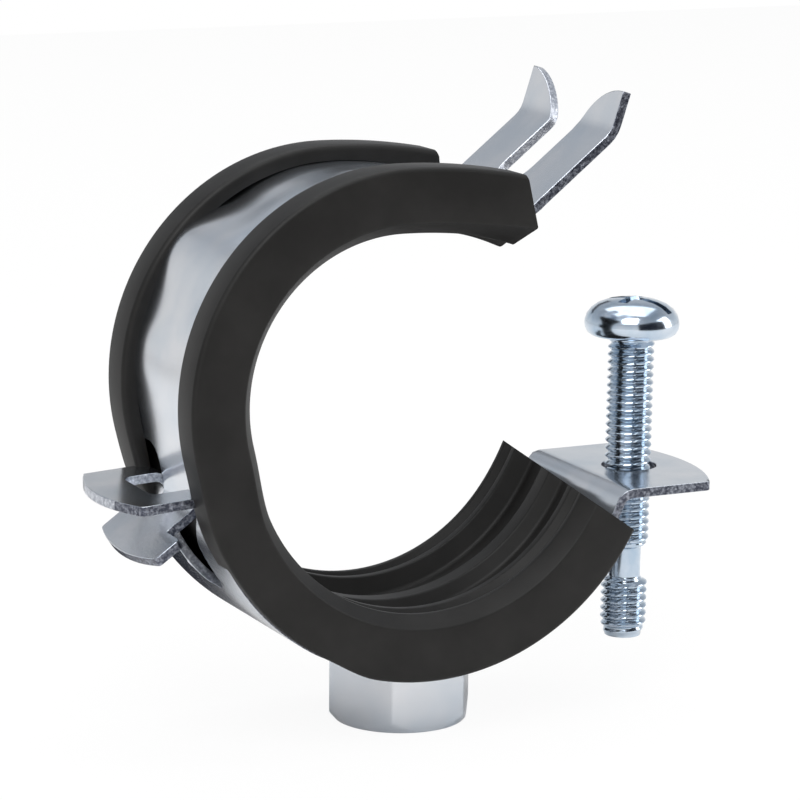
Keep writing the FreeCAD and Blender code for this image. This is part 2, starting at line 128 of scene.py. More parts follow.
def makeZincSheet():
    # Bright zinc plated steel strip: cold rolled, pressed and barrel plated. The eye gets soft mirror
    # patches, faint rolling lines and a slight cloudiness.
    look = zincLook
    material, tree, shader, place = newMaterial("zincPlatedSheet")
    cloud = addNoise(tree, place, look["cloudSize"], 3.0)
    stretch = addNode(tree, "ShaderNodeMapping", {"Scale": (1.0, 1.0 / look["rollStretch"], 1.0)}, {"Vector": place})
    lines = addNoise(tree, stretch.outputs["Vector"], look["rollSpacing"] / look["rollStretch"], 2.0)
    pits = addNoise(tree, place, look["pitSize"], 4.0)
    low = addNode(tree, "ShaderNodeMath", {1: look["pitShare"]}, {0: pits}, operation="MULTIPLY")
    height = addNode(tree, "ShaderNodeMath", links={0: low.outputs[0], 1: lines}, operation="ADD")
    setInputs(tree, shader, {"Metallic": 1.0}, {
        "Base Color": addRamp(tree, cloud, [(0.35, look["pale"]), (0.7, look["blue"])]),
        "Roughness": addRange(tree, cloud, look["roughness"]),
        "Normal": addBump(tree, height.outputs[0], look["relief"]),
    })
    return material


rubberLook = {
    "face": "#151413",        # warm near-black
    "bloom": "#1f1e1d",       # the faint grey bloom of extruded rubber
    "roughness": 0.5,
    "refraction": 1.5,
    "gloss": 0.24,            # matt, carbon filled rubber shines less than a plain plastic
    "grain": 0.35,            # mm, matt skin from the die
    "bloomSize": 6.0,         # mm
    "relief": (0.25, 0.03),   # strength, depth in mm
}


def makeRubber():
    # EPDM rubber, extruded and cut to length: near-black, matt, with broad soft highlights on its edges
    look = rubberLook
    material, tree, shader, place = newMaterial("extrudedRubber")
    bloom = addNoise(tree, place, look["bloomSize"], 4.0)
    grain = addNoise(tree, place, look["grain"], 3.0)
    values = {"Roughness": look["roughness"], "IOR": look["refraction"], "Specular IOR Level": look["gloss"]}
    setInputs(tree, shader, values, {
        "Base Color": addRamp(tree, bloom, [(0.35, look["face"]), (0.75, look["bloom"])]),
        "Normal": addBump(tree, grain, look["relief"]),
    })
    return material


cutLook = {
    "torn": "#4a4d58",        # in the tears of the slit edge, a navy darkened as painted shade
    "bright": "#9a9ea8",      # on the grains between them
    "paintedHighlight": "#d5d8de",     # painted highlight on the walls of the window and of the fork's slot and on a few end edges
    "roughness": 0.34,
    "tear": 0.45,             # mm, torn grain of the sheared edge
    "tearRoughness": 0.65,
    "relief": (0.7, 0.12),    # strength, depth in mm
}


def makeCutEdge(name, low, high):
    # Sheared edge of the plated strip: torn steel under the zinc, so it breaks up into dark and bright specks. Made
    # twice: a dark copy with painted shade and a light copy with a painted highlight
    look = cutLook
    material, tree, shader, place = newMaterial(name)
    torn = addNoise(tree, place, look["tear"], 4.0, look["tearRoughness"])
    setInputs(tree, shader, {"Metallic": 1.0, "Roughness": look["roughness"]}, {
        "Base Color": addRamp(tree, torn, [(0.42, low), (0.66, high)]),
        "Normal": addBump(tree, torn, look["relief"]),
    })
    return material


screwLook = {
    "pale": "#c3ccd6",        # blue passivated zinc on a cold headed screw
    "blue": "#9db1c4",
    "roughness": (0.1, 0.24),
    "cloudSize": 2.5,         # mm
}


def makeZincScrew():
    # Cold headed and rolled screw, zinc plated with a blue passivation: brighter and bluer than the sheet
    look = screwLook
    material, tree, shader, place = newMaterial("bluePassivatedScrew")
    cloud = addNoise(tree, place, look["cloudSize"], 3.0)
    setInputs(tree, shader, {"Metallic": 1.0}, {
        "Base Color": addRamp(tree, cloud, [(0.3, look["pale"]), (0.75, look["blue"])]),
        "Roughness": addRange(tree, cloud, look["roughness"]),
    })
    return material


zincSheet = makeZincSheet()
# The sheared edge in two copies: darker with painted shade, and lighter as a painted highlight for the edges that
# catch the light
cutEdgeWithShade = makeCutEdge("zincPlatedSlitEdgeWithShade", cutLook["torn"], cutLook["bright"])
highlitEdge = makeCutEdge("zincPlatedEdgeHighlight", cutLook["bright"], cutLook["paintedHighlight"])
rubber = makeRubber()
zincScrew = makeZincScrew()
print("materials made")


# Mesh helpers

def newObject(name, build):
    mesh = bpy.data.meshes.new(name)
    build.to_mesh(mesh)
    build.free()
    item = bpy.data.objects.new(name, mesh)
    bpy.context.scene.collection.objects.link(item)
    return item


def shade(piece, sharpAngle):
    piece.data.shade_smooth()
    piece.data.set_sharp_from_angle(angle=math.radians(sharpAngle))


def newPiece(name, build, materials, sharpAngle):
    bmesh.ops.recalc_face_normals(build, faces=build.faces)
    piece = newObject(name, build)
    for material in materials:
        piece.data.materials.append(material)
    shade(piece, sharpAngle)
    return piece


def applyModifier(piece, modifier):
    bpy.context.view_layer.update()
    bpy.context.view_layer.objects.active = piece
    with bpy.context.temp_override(object=piece, active_object=piece, selected_objects=[piece]):
        bpy.ops.object.modifier_apply(modifier=modifier.name)


def joinRings(build, rings):
    for before, after in zip(rings, rings[1:]):
        for place in range(len(before)):
            build.faces.new([before[place - 1], before[place], after[place], after[place - 1]])


def unit(angle):
    return Vector((math.cos(angle), math.sin(angle)))


def clamp(share):
    return min(1.0, max(0.0, share))


def smooth(share):
    share = clamp(share)
    return share * share * (3 - 2 * share)


def between(rows, where):
    # The value at a place between rows of (place, value)
    for (first, low), (last, high) in zip(rows, rows[1:]):
        if where <= last:
            return low + (high - low) * max(0.0, where - first) / (last - first)
    return rows[-1][1]


def followPath(start, heading, moves):
    # moves are (length, turn in degrees) in mm. Gives a function of the distance along the path that returns
    # the point and the unit vector to its left, both as (x, z), and the distances where the moves begin and end.
    rows = []
    point = Vector(start)
    travelled = 0.0

    def bend(radius, first, last):
        return radius * Vector((math.sin(last) - math.sin(first), math.cos(first) - math.cos(last)))

    for length, turn in moves:
        rows.append((travelled, length, point.copy(), heading, turn))
        angle = math.radians(heading)
        if turn:
            point += bend(length / math.radians(turn), angle, math.radians(heading + turn))
        else:
            point += length * unit(angle)
        travelled += length
        heading += turn

    def station(distance):
        row = rows[0]
        for candidate in rows:
            if distance >= candidate[0]:
                row = candidate
        begin, length, origin, first, turn = row
        angle = math.radians(first)
        if turn:
            now = math.radians(first + turn * ((distance - begin) / length))
            place = origin + bend(length / math.radians(turn), angle, now)
        else:
            now = angle
            place = origin + (distance - begin) * unit(angle)
        return place, Vector((-math.sin(now), math.cos(now)))

    return station, [row[0] for row in rows] + [travelled]


def arcPoints(first, middle, last, count):
    # Points on the arc through three points, without its last one
    (ax, ay), (bx, by), (cx, cy) = first, middle, last
    a, b, c = ax * ax + ay * ay, bx * bx + by * by, cx * cx + cy * cy
    twist = 2 * (ax * (by - cy) + bx * (cy - ay) + cx * (ay - by))
    x = (a * (by - cy) + b * (cy - ay) + c * (ay - by)) / twist
    y = (a * (cx - bx) + b * (ax - cx) + c * (bx - ax)) / twist
    radius = math.hypot(ax - x, ay - y)
    begin = math.atan2(ay - y, ax - x)
    along = (math.atan2(cy - y, cx - x) - begin) % math.tau
    via = (math.atan2(by - y, bx - x) - begin) % math.tau
    if via > along:
        along -= math.tau
    angles = [begin + along * step / count for step in range(count)]
    return [(x + radius * math.cos(angle), y + radius * math.sin(angle)) for angle in angles]


def roundedCorners(points, radii, count):
    # A closed outline with each of its corners rounded to its own radius
    result = []
    for place, radius in enumerate(radii):
        corner = Vector(points[place])
        if radius <= 0:
            result.append(tuple(corner))
            continue
        before = Vector(points[place - 1]) - corner
        after = Vector(points[(place + 1) % len(points)]) - corner
        half = before.angle(after) / 2
        reach = min(radius / math.tan(half), before.length * 0.49, after.length * 0.49)
        first = corner + before.normalized() * reach
        last = corner + after.normalized() * reach
        inward = (before.normalized() + after.normalized()).normalized()
        real = reach * math.tan(half)
        middle = corner + inward * (real / math.sin(half) - real)
        result += arcPoints(tuple(first), tuple(middle), tuple(last), count) + [tuple(last)]
    return result


def spaced(loop, step):
    # The same closed outline with its long sides divided
    result = []
    for place, (x1, y1) in enumerate(loop):
        x2, y2 = loop[(place + 1) % len(loop)]
        pieces = max(1, round(math.dist((x1, y1), (x2, y2)) / step))
        result += [(x1 + (x2 - x1) * share / pieces, y1 + (y2 - y1) * share / pieces) for share in range(pieces)]
    return result


def inside(point, loop):
    x, y = point
    hit = False
    for place, (x2, y2) in enumerate(loop):
        x1, y1 = loop[place - 1]
        if (y1 > y) != (y2 > y) and x < (x2 - x1) * (y - y1) / (y2 - y1) + x1:
            hit = not hit
    return hit


# Sheet metal of both halves

sheet = {
    "thickness": 1.15,
    "halfWidth": 12.3,
    "bend": 1.6,
    "edgeRound": 0.1,
    "edgeAngle": 50.0,        # degrees, edges sharper than this are rounded
    "grid": 0.8,
    "gridGap": 0.45,          # of a step, left free beside the outline
}


def flatBlank(outline, holes):
    # The points and the triangles of a flat blank with its holes
    step = sheet["grid"]
    loops = [spaced(loop, step) for loop in [outline] + holes]
    points = [point for loop in loops for point in loop]
    border = [Vector(point) for point in points]
    edges = []
    for loop in loops:
        first = len(edges)
        edges += [(first + place, first + (place + 1) % len(loop)) for place in range(len(loop))]

    def isMetal(point):
        return inside(point, loops[0]) and not any(inside(point, loop) for loop in loops[1:])

    low = Vector((min(point[0] for point in outline), min(point[1] for point in outline)))
    high = Vector((max(point[0] for point in outline), max(point[1] for point in outline)))
    across = math.ceil((high.x - low.x) / step)
    up = math.ceil((high.y - low.y) / step)
    free = (sheet["gridGap"] * step) ** 2
    for column in range(across + 1):
        for line in range(up + 1):
            point = (low.x + (high.x - low.x) * column / across, low.y + (high.y - low.y) * line / up)
            if isMetal(point) and min((Vector(point) - near).length_squared for near in border) > free:
                points.append(point)
    flat, _, faces, _, _, _ = geometry.delaunay_2d_cdt([Vector(point) for point in points], edges, [], 0, 1e-6)
    return flat, [face for face in faces if isMetal(sum((flat[corner] for corner in face), Vector((0, 0))) / 3)]


def pressedSheet(outline, holes, station, dent, isHighlit):
    # Bends the flat blank along the path and gives it its thickness and its two kinds of cut edge: a darker one with
    # painted shade and a lighter one with a painted highlight
    flat, faces = flatBlank(outline, holes)
    build = bmesh.new()
    sides = []
    for lift in (sheet["thickness"] / 2, -sheet["thickness"] / 2):
        verts = []
        for point in flat:
            place, left = station(point.x)
            place = place + left * (lift + dent(point.x, point.y))
            verts.append(build.verts.new((place.x * mm, point.y * mm, place.y * mm)))
        sides.append(verts)
    over, under = sides
    for face in faces:
        build.faces.new([over[corner] for corner in face])
        build.faces.new([under[corner] for corner in reversed(face)])
    pairs = [(face[place - 1], face[place]) for face in faces for place in range(3)]
    known = set(pairs)
    for one, two in pairs:
        if (two, one) not in known:
            side = build.faces.new([over[two], over[one], under[one], under[two]])
            # edges that catch the light get the painted highlight, the others the darker copy with painted shade
            side.material_index = 2 if isHighlit((flat[one] + flat[two]) / 2) else 1
    for vert in [vert for vert in build.verts if not vert.link_faces]:
        build.verts.remove(vert)
    return build


def newBand(name, build):
    piece = newPiece(name, build, [zincSheet, cutEdgeWithShade, highlitEdge], 40.0)
    bevel = piece.modifiers.new("edges", "BEVEL")
    bevel.width = sheet["edgeRound"] * mm
    bevel.segments = 2
    bevel.limit_method = "ANGLE"
    bevel.angle_limit = math.radians(sheet["edgeAngle"])
    applyModifier(piece, bevel)
    return piece


lowerBand = {
    "radius": 28.4,
    "earTop": -6.3,
    "earHalf": 9.75,
    "earRun": 7.57,
    "earArch": 2.2,
    "earDip": 3.5,            # degrees
    "earCorners": (0.9, 2.2),     # front, rear
    "narrowRun": 2.2,         # the strip stays as narrow as the ear so far past the fold
    "windowHalf": 4.9,
    "windowReach": 4.4,
    "windowSill": -18.4,
    "windowRound": (1.2, 3.6),    # in the ear, in the strip
    "plateTop": -9.85,
    "plateHalf": 12.5,
    "plateEnd": 41.6,
    "plateArch": 3.2,
    "plateCorner": 1.2,
    "spreadStart": 0.3,       # past the fold, where the strip grows as wide as the plate
    "spreadRun": 0.8,
    "holeX": 33.8,
    "holeRadius": 3.5,
    "bulge": 1.45,            # the strip stands out beside the hinge
    "bulgeRise": 5.0,         # distance over which it comes out of the liner
    "bulgeFall": 13.0,        # and over which it goes back
    "bulgeEnd": 34.0,         # distance from the fold at which it is back in the liner
}


def lowerBandDent(distance, along):
    size = lowerBand
    marks = lowerPath[1]
    if distance < marks[1]:
        return (marks[1] - distance) * -math.tan(math.radians(size["earDip"]))
    gap = distance - marks[2]
    return -size["bulge"] * smooth(gap / size["bulgeRise"]) * smooth((size["bulgeEnd"] - gap) / size["bulgeFall"])


def lowerBandPath():
    # From the tip of the ear round the bottom to the end of the screw's plate
    size = lowerBand
    bend = sheet["bend"]
    reach = size["radius"] + bend
    half = sheet["thickness"] / 2
    leftZ = size["earTop"] - half
    rightZ = size["plateTop"] - half
    leftX = -math.sqrt(reach ** 2 - (leftZ - bend) ** 2)
    rightX = math.sqrt(reach ** 2 - (rightZ - bend) ** 2)
    leftTurn = math.degrees(math.atan2(-leftX, bend - leftZ))
    rightTurn = math.degrees(math.atan2(rightX, bend - rightZ))
    ear = size["earRun"] + size["earArch"]
    wrap = leftTurn + rightTurn
    moves = [
        (ear, 0),
        (bend * math.radians(leftTurn), -leftTurn),
        (size["radius"] * math.radians(wrap), wrap),
        (bend * math.radians(rightTurn), -rightTurn),
        (size["plateEnd"] - rightX, 0),
    ]
    station, marks = followPath((leftX - ear, leftZ), 0.0, moves)
    return station, marks, rightX


def makeLowerBand():
    size = lowerBand
    station, marks, rightX = lowerPath
    end = marks[-1]
    ear = size["earHalf"]
    wide = sheet["halfWidth"]
    plate = size["plateHalf"]
    earStart = size["earArch"]
    narrow = marks[2] + size["narrowRun"]
    spread = marks[3] + size["spreadStart"]
    spreadEnd = spread + size["spreadRun"]
    corner = end - size["plateArch"]
    outline = arcPoints((earStart, ear), (0, 0), (earStart, -ear), 24)
    outline += [(earStart, -ear), (narrow, -ear), (narrow, -wide), (spread, -wide), (spreadEnd, -plate)]
    outline += arcPoints((corner, -plate), (end, 0), (corner, plate), 28)
    outline += [(corner, plate), (spreadEnd, plate), (spread, wide), (narrow, wide), (narrow, ear)]
    sharp = {(earStart, -ear): size["earCorners"][0], (earStart, ear): size["earCorners"][1],
             (corner, -plate): size["plateCorner"], (corner, plate): size["plateCorner"]}
    outline = roundedCorners(outline, [sharp.get(point, 0.0) for point in outline], 4)

    windowStart = marks[1] - size["windowReach"]
    sill = math.degrees(math.asin(-size["windowSill"] / size["radius"]))
    fold = sheet["bend"] - (size["earTop"] - sheet["thickness"] / 2)
    foldAngle = math.degrees(math.asin(fold / (size["radius"] + sheet["bend"])))
    windowEnd = marks[2] + size["radius"] * math.radians(sill - foldAngle)
    half = size["windowHalf"]
    earRound, stripRound = size["windowRound"]
    window = roundedCorners([(windowStart, -half), (windowEnd, -half), (windowEnd, half), (windowStart, half)],
                            [earRound, stripRound, stripRound, earRound], 6)
    holeAt = marks[4] + size["holeX"] - rightX
    hole = [(holeAt + size["holeRadius"] * math.cos(math.tau * step / 40),
             size["holeRadius"] * math.sin(math.tau * step / 40)) for step in range(40)]

    def isHighlit(spot):
        # The edges with the painted highlight: the window, with the middle of the ear's tip
        return spot.x < windowEnd + 1 and abs(spot.y) < half + 0.1

    piece = newBand("lowerBandPlated", pressedSheet(outline, [window, hole], station, lowerBandDent, isHighlit))
    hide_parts("lower_band")
    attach(piece, "lower_half")


upperBand = {
    "centre": (-3.9, 4.13),
    "radius": 25.15,
    "neckLean": 10.0,
    "neckLength": 8.86,
    "neckHalf": 4.8,
    "shoulderZ": -2.7,
    "shoulderRound": 2.6,
    "shoulderCorner": 0.7,
    "hookSlope": 35.0,
    "hookHalf": 8.9,
    "hookShank": 4.8,
    "hookSide": 3.7,
    "hookArch": 1.37,
    "hookCorners": (0.9, 0.6, 0.5),   # beside its arch, towards the neck, between it and the neck
    "crownTurn": 98.0,
    "saddleRadius": 36.4,
    "saddleTurn": 27.3,
    "forkRise": 38.5,
    "forkLength": 12.1,
    "forkHalf": 11.9,
    "forkStart": (-2.0, 1.0),     # the strip narrows to the fork between these distances from the fold
    "slotHalf": 3.4,
    "slotFootZ": 27.1,
    "tipRise": 72.0,
    "tipBend": 4.0,
    "tipLength": 4.6,
    "tipSwing": 6.1,          # length of the rounded end of each prong
    "tipVia": (1.5, 0.5),     # its arc passes here: distance from the end, share of the prong's width
    "tipFlat": 0.6,
    "tipExtra": {-1: -0.5, 1: 0.2},   # the front and the rear prong are cut off unevenly
}

# The strip buckled a little where it was bent round: a bulge with a shallow dip after it and a long low
# swelling before it, and three dents towards the front
buckle = {
    "turn": 50.0,             # degrees from the neck
    "waves": [(1.5, 0.0, 4.6), (-0.35, 8.5, 3.5), (0.55, -14.0, 9.0)],    # (height, place, width)
    "dents": [(3.4, -6.4, 0.75), (8.6, -6.8, 0.55), (-5.5, -7.2, 0.35)],  # (place, along the pipe, depth)
    "dentSize": (2.0, 2.4),
    "share": (0.75, 0.02),    # in the middle, and its growth per mm towards the rear
    "ripple": 0.16,
    "rippleScale": (0.16, 0.11),
    "fade": (6.0, 8.0),       # distances over which it begins and ends
}


def upperBandPath():
    # From the tip of the hook up the neck and over the crown to the ends of the prongs
    size = upperBand
    bend = sheet["bend"]
    lean = size["neckLean"]
    slope = size["hookSlope"]
    fold = 90.0 + lean - slope
    meet = Vector(size["centre"]) + size["radius"] * unit(math.radians(180 + lean))
    ahead = Vector((-math.sin(math.radians(lean)), math.cos(math.radians(lean))))
    corner = meet - size["neckLength"] * ahead
    tangent = bend * math.tan(math.radians(fold / 2))
    hookLength = size["hookShank"] + size["hookSide"] + size["hookArch"]
    dip = size["forkRise"] - (90 + lean - size["crownTurn"] - size["saddleTurn"])
    lift = size["tipRise"] - size["forkRise"]
    moves = [
        (hookLength - tangent, 0),
        (bend * math.radians(fold), fold),
        (size["neckLength"] - tangent, 0),
        (size["radius"] * math.radians(size["crownTurn"]), -size["crownTurn"]),
        (size["saddleRadius"] * math.radians(size["saddleTurn"]), -size["saddleTurn"]),
        (bend * math.radians(dip), dip),
        (size["forkLength"], 0),
        (size["tipBend"] * math.radians(lift), lift),
        (size["tipLength"], 0),
    ]
    return followPath(corner - unit(math.radians(slope)) * hookLength, slope, moves)


def upperBandDent(distance, along):
    size = buckle
    marks = upperPath[1]
    gap = distance - (marks[3] + upperBand["radius"] * math.radians(size["turn"]))
    swell = 0.0
    for high, place, width in size["waves"]:
        swell += high * math.exp(-((gap - place) / width) ** 2)
    length, width = size["dentSize"]
    for past, beside, deep in size["dents"]:
        swell -= deep * math.exp(-((gap - past) / length) ** 2 - ((along - beside) / width) ** 2)
    scale = size["rippleScale"]
    ripple = size["ripple"] * noise.noise(Vector((distance * scale[0], along * scale[1], 3.0)))
    fade = clamp((distance - marks[3]) / size["fade"][0]) * clamp((marks[5] - distance) / size["fade"][1])
    return (swell * (size["share"][0] + size["share"][1] * along) + ripple) * fade


def makeUpperBand():
    size = upperBand
    station, marks = upperPath
    end = marks[-1]
    neck = size["neckHalf"]
    hook = size["hookHalf"]
    wide = sheet["halfWidth"]
    slot = size["slotHalf"]
    fork = size["forkHalf"]
    tip = fork - size["tipFlat"]
    archEnd = size["hookArch"]
    hookEnd = size["hookArch"] + size["hookSide"]
    lean = math.cos(math.radians(size["neckLean"]))
    shoulder = marks[2] + (size["shoulderZ"] - station(marks[2])[0].y) / lean
    turn = size["shoulderRound"]
    slant = turn * (1 - math.sqrt(0.5))
    forkStart, forkWide = (marks[6] + past for past in size["forkStart"])
    foot = marks[6] + (size["slotFootZ"] - station(marks[6])[0].y) / math.sin(math.radians(size["forkRise"]))
    tipStart = end - size["tipSwing"]
    via = (end - size["tipVia"][0], slot + (tip - slot) * size["tipVia"][1])

    def half(side):
        last = end + size["tipExtra"][side]
        points = [(archEnd, side * hook), (hookEnd, side * hook), (hookEnd, side * neck)]
        points += [(shoulder - turn, side * neck)]
        points += arcPoints((shoulder - turn, side * neck), (shoulder - slant, side * (neck + slant)),
                            (shoulder, side * (neck + turn)), 6)[1:]
        points += [(shoulder, side * (neck + turn)), (shoulder, side * wide), (forkStart, side * wide)]
        points += [(forkWide, side * fork), (last, side * fork), (last, side * tip)]
        points += arcPoints((last, side * tip), (via[0], side * via[1]), (tipStart, side * slot), 12)[1:]
        return points + [(tipStart, side * slot), (foot + slot, side * slot)]

    outline = half(-1) + arcPoints((foot + slot, -slot), (foot, 0), (foot + slot, slot), 16)[1:] + half(1)[::-1]
    outline += arcPoints((archEnd, hook), (0, 0), (archEnd, -hook), 24)[1:]
    archRound, hookRound, neckRound = size["hookCorners"]
    sharp = {}
    for side in (-1, 1):
        sharp.update({(archEnd, side * hook): archRound, (hookEnd, side * hook): hookRound,
                      (hookEnd, side * neck): neckRound, (shoulder, side * wide): size["shoulderCorner"]})
    outline = roundedCorners(outline, [sharp.get(point, 0.0) for point in outline], 4)

    def isHighlit(spot):
        # The edges with the painted highlight: the fork's slot, with the end of the rear prong
        return spot.x > foot - 1 and (abs(spot.y) < slot + 0.1 or spot.x > tipStart and spot.y > 0)

    piece = newBand("upperBandPlated", pressedSheet(outline, [], station, upperBandDent, isHighlit))
    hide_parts("upper_band")
    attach(piece, "upper_half")


lowerPath = lowerBandPath()
upperPath = upperBandPath()
makeLowerBand()
makeUpperBand()
print("sheet metal made")


# Rubber liner, one strip from the screw end round to the fork end

liner = {
    "halfWidth": 13.8,
    "rimInner": 8.6,
    "rimRise": 2.0,
    "floor": -3.5,
    "tip": -6.1,
    "centreTip": -5.4,
    "centreHalf": 1.2,
    "ribPlace": 8.3,
    "ribHalf": 0.5,
    "flare": 0.9,
    "lipPlace": 11.3,
    "lipHalf": 0.3,
    "grooveWidth": 1.1,
    "grooveDepth": 1.6,
    "bevel": 1.5,
    "clear": 0.03,            # between the rubber and the sheet
    "bandFoot": -1.5,         # the faces against the sheet lie between these heights
    "bandTop": 0.2,
    "ribsHalf": 9.6,          # the floor and the ribs within here follow the sheet with this share
    "ribsShare": 0.55,
    "lowerRadius": 29.0,
    "upperRadius": 25.75,
    "flatRadius": 71.0,
    "lowerArc": (-28.5, -155.6),      # degrees about the seat's axis, from the screw end to the hinge
    "upperArc": (193.8, 90.0),        # degrees about the upper band's centre, from the hinge to its top
    "screwFade": 14,          # rows over which the cut at the screw end fades
    "screwCorner": (27.24, -13.8, -14.79),
    "screwNormal": (0.5711, -0.0957, 0.8153),     # of the cut there, which runs a little askew
    "forkFade": 10,
    "forkEnd": (11.4, 30.3),
    "forkTurn": 12.1,         # degrees by which the strip points down there
    # How far the end stands out at each depth under the rims
    "forkCut": [(0.0, 0.0), (3.0, 1.35), (6.7, 1.45), (7.4, 0.6), (8.3, -0.8)],
    "forkSkew": 1.3,          # the rear side is cut shorter
    "forkSplay": (0.6, -0.5), # lift of the edges and of the ribs at that end
    "hingeRim": (0.65, 0.15), # of the front and the rear rim's height that is left beside the hinge
    "hingeSink": (-104.0, 14.0),      # the angle where the rims begin to sink, and over how many degrees
    "hingeRise": (-176.0, 34.0),      # the same for their rise, counted backwards
    "step": 0.8,
}


def linerSection():
    # The rubber's section as (along the pipe, height over the band's outer face), with its corners rounded
    size = liner
    ribNear = size["ribPlace"] - size["ribHalf"]
    ribFar = size["ribPlace"] + size["ribHalf"]
    lipNear = size["lipPlace"] - size["lipHalf"]
    lipFar = size["lipPlace"] + size["lipHalf"]
    groove = size["tip"] + size["grooveDepth"]
    band = sheet["thickness"] + size["clear"]
    edge = sheet["halfWidth"] + size["clear"]
    half = [                  # (along, height, radius)
        (size["centreHalf"], size["centreTip"], 0.35),
        (size["centreHalf"] + size["flare"], size["floor"], 0.7),
        (ribNear - size["flare"], size["floor"], 0.7),
        (ribNear, size["tip"], 0.3),
        (ribFar, size["tip"], 0.3),
        (lipNear - size["grooveWidth"], groove, 0.35),
        (lipNear - size["flare"], groove, 0.35),
        (lipNear, size["tip"], 0.3),
        (lipFar, size["tip"], 0.3),
        (size["halfWidth"], size["tip"] + size["bevel"], 0.35),
        (size["halfWidth"], size["rimRise"], 0.6),
        (size["rimInner"], size["rimRise"], 0.7),
        (size["rimInner"], size["clear"], 0.1),
        (edge, size["clear"], 0.0),
        (edge, -band, 0.0),
    ]
    whole = half + [(-along, height, radius) for along, height, radius in reversed(half)]
    return roundedCorners([row[:2] for row in whole], [row[2] for row in whole], 4)


def linerLine():
    # The line of the band's outer face with its outward direction, from the screw end to the fork end
    size = liner
    centre = Vector(upperBand["centre"])
    rows = []

    def addArc(middle, radius, first, last):
        count = round(math.radians(first - last) * radius / size["step"])
        for step in range(count + 1):
            out = unit(math.radians(first + (last - first) * step / count))
            rows.append((middle + radius * out, out))

    addArc(Vector((0, 0)), size["lowerRadius"], *size["lowerArc"])
    one = rows[-1][0]
    lastLow = math.radians(size["lowerArc"][1])
    firstHigh = math.radians(size["upperArc"][0])
    two = centre + size["upperRadius"] * unit(firstHigh)
    oneAhead = Vector((math.sin(lastLow), -math.cos(lastLow)))
    twoAhead = Vector((math.sin(firstHigh), -math.cos(firstHigh)))
    span = (two - one).length
    steps = round(span / size["step"])
    for step in range(1, steps):
        share = step / steps
        a, b = 2 * share ** 3 - 3 * share ** 2 + 1, share ** 3 - 2 * share ** 2 + share
        c, d = -2 * share ** 3 + 3 * share ** 2, share ** 3 - share ** 2
        place = a * one + b * span * oneAhead + c * two + d * span * twoAhead
        slope = (6 * share ** 2 - 6 * share) * one + (3 * share ** 2 - 4 * share + 1) * span * oneAhead
        slope += (-6 * share ** 2 + 6 * share) * two + (3 * share ** 2 - 2 * share) * span * twoAhead
        slope.normalize()
        rows.append((place, Vector((-slope.y, slope.x))))
    addArc(centre, size["upperRadius"], *size["upperArc"])
    flatCentre = centre + Vector((0, size["upperRadius"] - size["flatRadius"]))
    sweep = math.asin((size["forkEnd"][0] - centre.x) / (size["flatRadius"] + size["rimRise"]))
    count = round(sweep * size["flatRadius"] / size["step"])
    for step in range(1, count + 1):
        out = unit(math.radians(90) - sweep * step / count)
        rows.append((flatCentre + size["flatRadius"] * out, out))
    return rows


def bandSink(place, out):
    # How far the upper band's outer face lies under the liner's own line, along out
    station, marks = upperPath
    ahead = Vector((out.y, -out.x))
    best = 0.0
    nearest = 9.0
    for step in range(160):
        point, left = station(marks[3] + (marks[5] + 3.0 - marks[3]) * step / 159)
        gap = point + left * sheet["thickness"] / 2 - place
        aside = abs(gap.dot(ahead))
        if aside < nearest:
            nearest = aside
            best = gap.dot(out)
    return best


def makeLiner():
    size = liner
    section = linerSection()
    rows = linerLine()
    top = size["rimRise"]
    wide = size["halfWidth"]
    normal = Vector(size["screwNormal"])
    screwCorner = Vector(size["screwCorner"])
    forkSlope = math.tan(math.radians(size["forkTurn"]))
    flatFrom = next(place for place, (point, out) in enumerate(rows)
                    if point.y > 20 and point.x > upperBand["centre"][0] - 1)

    def pastCut(spot, along, ahead):
        # How far the spot is past the cut at the screw end, along the strip
        away = Vector((spot.x, along, spot.y)) - screwCorner
        return away.dot(normal) / (normal.x * ahead.x + normal.z * ahead.y)

    build = bmesh.new()
    rings = []
    for place, (point, out) in enumerate(rows):
        ahead = Vector((out.y, -out.x))
        sink = bandSink(point, out) if place >= flatFrom else 0.0
        nearScrew = max(0.0, 1.0 - place / size["screwFade"]) ** 2
        nearFork = max(0.0, 1.0 - (len(rows) - 1 - place) / size["forkFade"]) ** 2
        rimGap = pastCut(point + out * top, -wide, ahead) if nearScrew else 0.0
        angle = math.degrees(math.atan2(point.y, point.x))
        low = 0.0
        if angle < 0:
            sinkFrom, sinkRun = size["hingeSink"]
            riseTo, riseRun = size["hingeRise"]
            low = smooth((sinkFrom - angle) / sinkRun) * smooth((angle - riseTo) / riseRun)
        ring = []
        for along, height in section:
            lift = 0.0
            if size["bandFoot"] < height < size["bandTop"]:
                lift = sink
            elif height < size["bandFoot"] and abs(along) < size["ribsHalf"]:
                lift = sink * size["ribsShare"]
            if height > size["bandTop"]:
                lift -= height * (1 - size["hingeRim"][0 if along < 0 else 1]) * low
            if height < -2.0:
                lift += nearFork * size["forkSplay"][0 if abs(along) > 13 else 1]
            under = top - height
            shift = nearFork * (between(size["forkCut"], under) + under * forkSlope)
            shift -= nearFork * size["forkSkew"] * (along + wide) / (2 * wide)
            spot = point + out * (height + lift) + ahead * shift
            if nearScrew:
                spot -= ahead * nearScrew * (pastCut(spot, along, ahead) - rimGap)
            ring.append(build.verts.new((spot.x * mm, along * mm, spot.y * mm)))
        rings.append(ring)
    joinRings(build, rings)
    build.faces.new(rings[0])
    build.faces.new(rings[-1][::-1])
    piece = newPiece("linerRubber", build, [rubber], 50.0)
    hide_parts("lower_liner", "upper_liner")
    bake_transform(piece)


makeLiner()
print("liner made")


# Clamping screw

